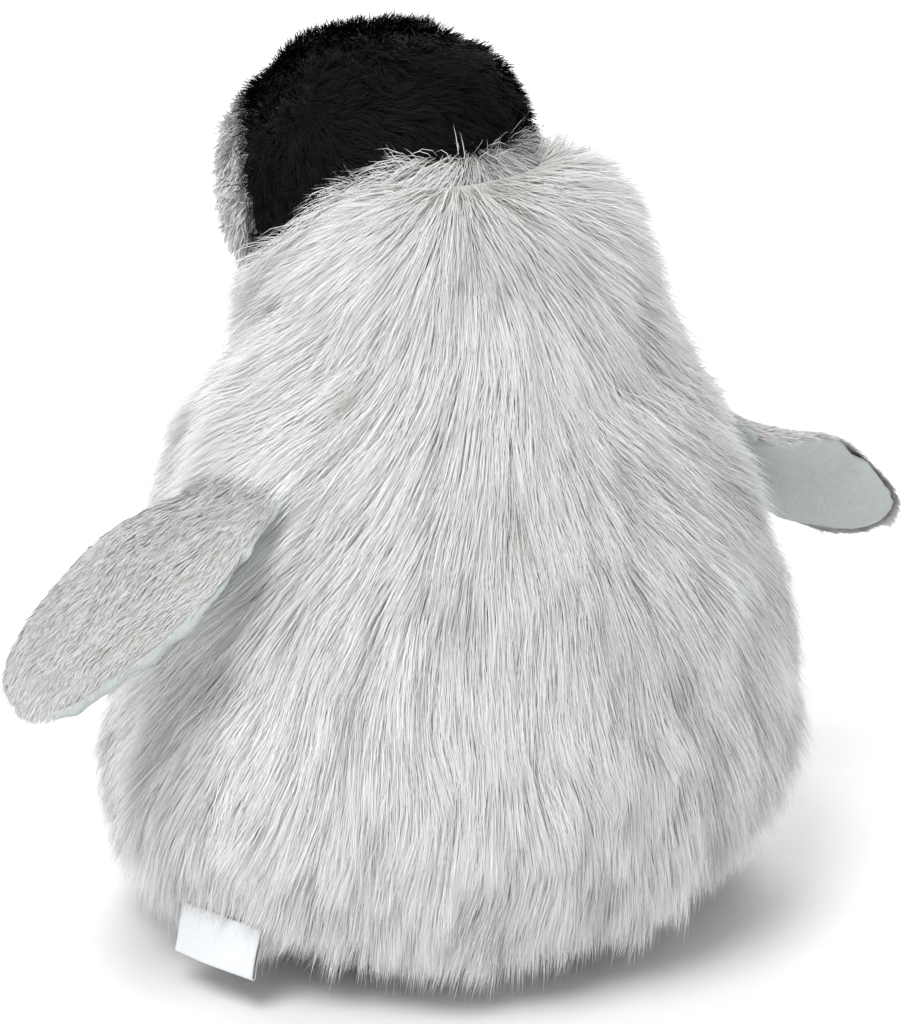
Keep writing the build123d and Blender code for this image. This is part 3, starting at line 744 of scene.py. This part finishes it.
def flipper(side, seed):
    """A stuffed blade: napped cloth outside, smooth knit inside, and the nap itself."""
    rng = np.random.default_rng(seed)
    rows, columns = 60, 30
    edge_turn = 0.42 if side == "left" else 0.1  # how far the lining wraps over the trailing edge
    wrap = 0.12 if side == "left" else 0.75  # how far the nap wraps over the leading edge
    for layer, span, cloth, slot, names in (
        ("outer", (0, PI - edge_turn), flipper_cloth, "flipper_pile", ("flipper_outer_" + side,)),
        ("lining", (PI - edge_turn, 2 * PI), shaded_lining_cloth, "flipper_lining", ("flipper_lining_" + side,)),
    ):
        a, r = np.meshgrid(np.linspace(0, 1, rows), np.linspace(*span, columns), indexing="ij")
        a, r = a.ravel(), r.ravel()
        p = flipper_point(side, a, r)[0]
        n = flipper_normal(side, a, r)
        edge = 1 - np.abs(np.sin(r))
        if layer == "outer":
            p = p - n * (0.0010 * (1 - edge))[:, None]
        else:
            # the smooth lining puckers along its seam and sinks a little in the middle
            pucker = noise(np.stack([a * 0.08, r * 0, r * 0], -1), 0.0035, seed + 5)
            shift = pucker * 0.0007 * edge**2 * 2 - 0.0004 + noise(p, 0.018, seed + 6) * 0.0011
            p = p + n * shift[:, None]
        faces = grid_faces(rows, columns)
        mesh_piece(f"flipper_{layer}_skin_{side}", p, faces, cloth, "flipper_" + side, names)
    # pile on the outer face, lying along the flipper and just over its edges
    count = int(HAIRS["nap"] * SHARE)
    a = rng.uniform(0.02, 0.995, count) ** 0.9
    r = rng.uniform(-wrap, PI - edge_turn, count)
    wide = hermite(a, np.linspace(0, 1, len(BLADE)), BLADE)[:, 1]
    keep = rng.uniform(0, 1, count) < (0.25 + 0.75 * np.abs(np.sin(r))) * wide / 38
    a, r = a[keep], r[keep]
    p, chord, _, out = flipper_point(side, a, r, -0.0008)
    n = flipper_normal(side, a, np.clip(r, 0.02, PI - 0.02))
    away = unit(np.broadcast_to(out, p.shape) - chord * 0.22)
    flow = spin(flow_along(n, away), n, noise(p, 0.012, seed + 7) * 0.22 + noise(p, 0.004, seed + 8) * 0.16)
    lift = np.clip(0.20 + 0.08 * noise(p, 0.004, seed + 9) + 0.05 * rng.normal(size=len(p)), 0.06, 0.6)
    size = 0.0036 * (1 + 0.25 * rng.normal(size=len(p)).clip(-2, 2) * 0.8)
    paths = hair_paths(p, n, flow, size, lift, np.full(len(p), 0.1), rng.normal(size=p.shape) * 0.10)
    paths, lock = gather(paths, p, 10 * SHARE, 0.5, seed + 1, 1.1)
    streak = noise(p @ np.array([[0.25, 0, 0], [0, 1, 0], [0, 0, 0.6]]), 0.003, seed + 10)
    tone = 0.80 + 0.05 * rng.normal(size=len(p))[lock] + 0.04 * rng.normal(size=len(p)) + 0.12 * streak
    width = hair_width("nap", len(p))
    hair_piece("flipper_nap_" + side, paths, n, width, tone, flipper_hair, "flipper_" + side,
               seed + 2)


flipper("left", 301)
flipper("right", 321)


# ---- feet ----------------------------------------------------------------------------------------
def foot(side):
    """A soft three-toed pad: rounded top, flat sole, a dent between the toes."""
    sign = 1 if side == "left" else -1
    # place across and ahead, height and radius: the heel, then three toes
    lobes = np.array([
        (0, 80.5, 2.5, 9.0), (-9.5, 87, 4.0, 8.3), (0, 90.5, 4.0, 8.3), (9.5, 87, 4.0, 8.3),
    ]) * MM
    centre = np.array((0.0, 0.0855))
    rows, columns = 26, 96
    angle = np.linspace(0, 2 * PI, columns, endpoint=False)
    ways = np.stack([np.sin(angle), np.cos(angle)], -1)
    reach = np.zeros(columns)
    for dx, ahead, z, radius in lobes:
        to = np.array((dx, ahead)) - centre
        b = ways @ to
        inside = b**2 - (to @ to) + (radius * 0.97) ** 2
        reach = np.maximum(reach, np.where(inside > 0, b + np.sqrt(np.maximum(inside, 0)), 0))
    kernel = np.array((1, 2, 3, 2, 1)) / 9
    reach = sum(k * np.roll(reach, i - 2) for i, k in enumerate(kernel))
    share = np.linspace(0, 1, rows)
    flat = centre + ways[None] * (reach[None, :] * share[:, None])[..., None]
    height = np.zeros((rows, columns))
    for dx, ahead, z, radius in lobes:
        d2 = (flat[..., 0] - dx) ** 2 + (flat[..., 1] - ahead) ** 2
        dome = z + np.sqrt(np.maximum(radius**2 - d2, 0)) * (d2 < radius**2) - z * (d2 >= radius**2)
        height = np.maximum(height, dome)
    height = np.minimum(height, 0.0118)
    for _ in range(2):
        inner = (height + np.roll(height, 1, 1) + np.roll(height, -1, 1)) / 3
        inner[1:-1] = (inner[1:-1] * 2 + inner[:-2] + inner[2:]) / 4
        height = inner
    height = np.maximum(height, 0.0022) * np.sqrt(np.clip(1 - share**6, 0.06, 1))[:, None]
    top = np.stack([flat[..., 0] + sign * FOOT_X, -flat[..., 1], np.maximum(height, 0.0023)], -1)
    faces = [tuple(reversed(f)) for f in grid_faces(rows, columns, wrap=True)]
    mesh_piece("foot_top_" + side, top.reshape(-1, 3), faces, foot_cloth, "foot_" + side,
               ("foot_upper_" + side,))
    # the sole's rings: share of the outline, and height
    levels = [(1.0, 0.0024), (1.015, 0.0016), (1.0, 0.0007), (0.96, 0.0004), (0.5, 0.0004), (0.02, 0.0004)]
    rings = []
    for grow, z in levels:
        ring = centre + ways * (reach * grow)[:, None]
        rings.append(np.stack([ring[:, 0] + sign * FOOT_X, -ring[:, 1], np.full(columns, z)], -1))
    faces = [tuple(reversed(f)) for f in grid_faces(len(rings), columns, wrap=True)]
    mesh_piece("foot_bottom_" + side, np.concatenate(rings), faces, foot_cloth, "foot_" + side,
               ("foot_sole_" + side,))


foot("left")
foot("right")


# ---- label ---------------------------------------------------------------------------------------
def label():
    """A folded satin tape, sewn into the base seam by its two ends."""
    droop, turn = math.radians(LABEL_DROOP), math.radians(LABEL_TURN)
    way = np.array((math.cos(droop) * math.cos(turn), math.cos(droop) * math.sin(turn), -math.sin(droop)))
    across = np.array((-math.sin(turn), math.cos(turn), 0.0))
    side = np.cross(across, way)
    length, wide = LABEL_LONG - 0.0004, LABEL_WIDE - 0.0004
    inner, skin, columns = 0.0004, 0.00022, 28
    sewn_in, bend = 0.004, length - 0.001
    fold = np.linspace(0.3, PI - 0.3, 7)
    outline = [(x, inner + skin) for x in np.linspace(-sewn_in, bend, 14)]
    outline += [(bend + 0.001 * math.sin(a), (inner + skin) * math.cos(a)) for a in fold]
    outline += [(x, -inner - skin) for x in np.linspace(bend, -sewn_in, 14)]
    back = [
        (x - (skin if x > length - 0.0009 else 0), y * inner / (inner + skin)) for x, y in reversed(outline)
    ]
    loop = outline + back
    points = []
    for c in range(columns):
        share = c / (columns - 1)
        for x, h in loop:
            reach = max(0.0, x / length)
            wave = 0.0006 * math.sin(share * 5.2 + x * 260) * reach
            points.append(LABEL_ROOT + way * x + side * (h + wave) + across * wide * (share - 0.5))
    faces = grid_faces(columns, len(loop), wrap=True)
    last = (columns - 1) * len(loop)
    faces += [tuple(range(len(loop))), tuple(reversed(range(last, last + len(loop))))]
    piece = mesh_piece("sewn_label", points, faces, label_cloth, "label", ("brand_label",))


label()


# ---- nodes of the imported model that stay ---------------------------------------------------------
KEPT = {
    "body_stuffing": fibre, "neck_stuffing": fibre, "head_stuffing": fibre, "flipper_padding_left": fibre,
    "flipper_padding_right": fibre, "foot_padding_left": fibre, "foot_padding_right": fibre,
    "pellet_pouch": pouch_cloth, "pellet_fill": pellet_plastic, "base_seam_thread": thread_cloth,
    "eye_left": eye_plastic, "eye_right": eye_plastic, "eye_washer_left": washer_plastic,
    "eye_washer_right": washer_plastic,
}
for node, material in KEPT.items():
    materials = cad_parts[node].data.materials
    materials.clear()
    materials.append(material)

# ---- floor, light and camera ---------------------------------------------------------------------
REACH = 6
floor_mesh = bpy.data.meshes.new("floor")
floor_mesh.from_pydata(
    [(-REACH, -REACH, 0), (REACH, -REACH, 0), (REACH, REACH, 0), (-REACH, REACH, 0)], [], [(0, 1, 2, 3)]
)
floor = bpy.data.objects.new("floor", floor_mesh)
bpy.context.scene.collection.objects.link(floor)
floor_paper = cloth_material(
    "floor_paper", (0.93, 0.93, 0.93), (0.95, 0.95, 0.95), 0.01, bump=0.0, sheen=0.0
)
floor_mesh.materials.append(floor_paper)

AZIMUTH, ELEVATION = math.radians(142), math.radians(20)
DISTANCE, VIEW_WIDTH, SENSOR = 1.2, 0.2621, 36  # VIEW_WIDTH is the picture's width at the toy
toward = Vector((
    math.sin(AZIMUTH) * math.cos(ELEVATION), -math.cos(AZIMUTH) * math.cos(ELEVATION), math.sin(ELEVATION)
))
right = Vector((math.cos(AZIMUTH), math.sin(AZIMUTH), 0))
up = toward.cross(right)
target = Vector((0, 0, 0.112)) + right * 0.0012 - up * 0.0038
camera_data = bpy.data.cameras.new("camera")
camera_data.sensor_width = SENSOR
camera_data.lens = DISTANCE * SENSOR / VIEW_WIDTH
camera = bpy.data.objects.new("camera", camera_data)
camera.location = target + toward * DISTANCE
camera.rotation_euler = (-toward).to_track_quat("-Z", "Y").to_euler()
bpy.context.scene.collection.objects.link(camera)
bpy.context.scene.camera = camera


def lamp(name, place, size, power):
    """A round white lamp at a place measured from the camera's target, aimed at it."""
    data = bpy.data.lights.new(name, "AREA")
    data.shape = "DISK"
    data.size = size
    data.energy = power
    light = bpy.data.objects.new(name, data)
    light.location = target + place
    light.rotation_euler = (-place).to_track_quat("-Z", "Y").to_euler()
    bpy.context.scene.collection.objects.link(light)


lamp("key", right * -0.55 + toward * 1.25 + Vector((0, 0, 1.25)), 1.1, 33)
lamp("fill", right * 1.3 + toward * 1.2 + Vector((0, 0, 0.5)), 1.2, 1)
lamp("front", toward * -1.3 + Vector((0, 0, 1.2)), 1.0, 10)
world = bpy.data.worlds.new("studio")
world.use_nodes = True
world.node_tree.nodes["Background"].inputs["Color"].default_value = (0.95, 0.97, 1.0, 1)
world.node_tree.nodes["Background"].inputs["Strength"].default_value = 0.68
bpy.context.scene.world = world
bpy.context.scene.view_settings.view_transform = "Standard"

bpy.context.view_layer.update()
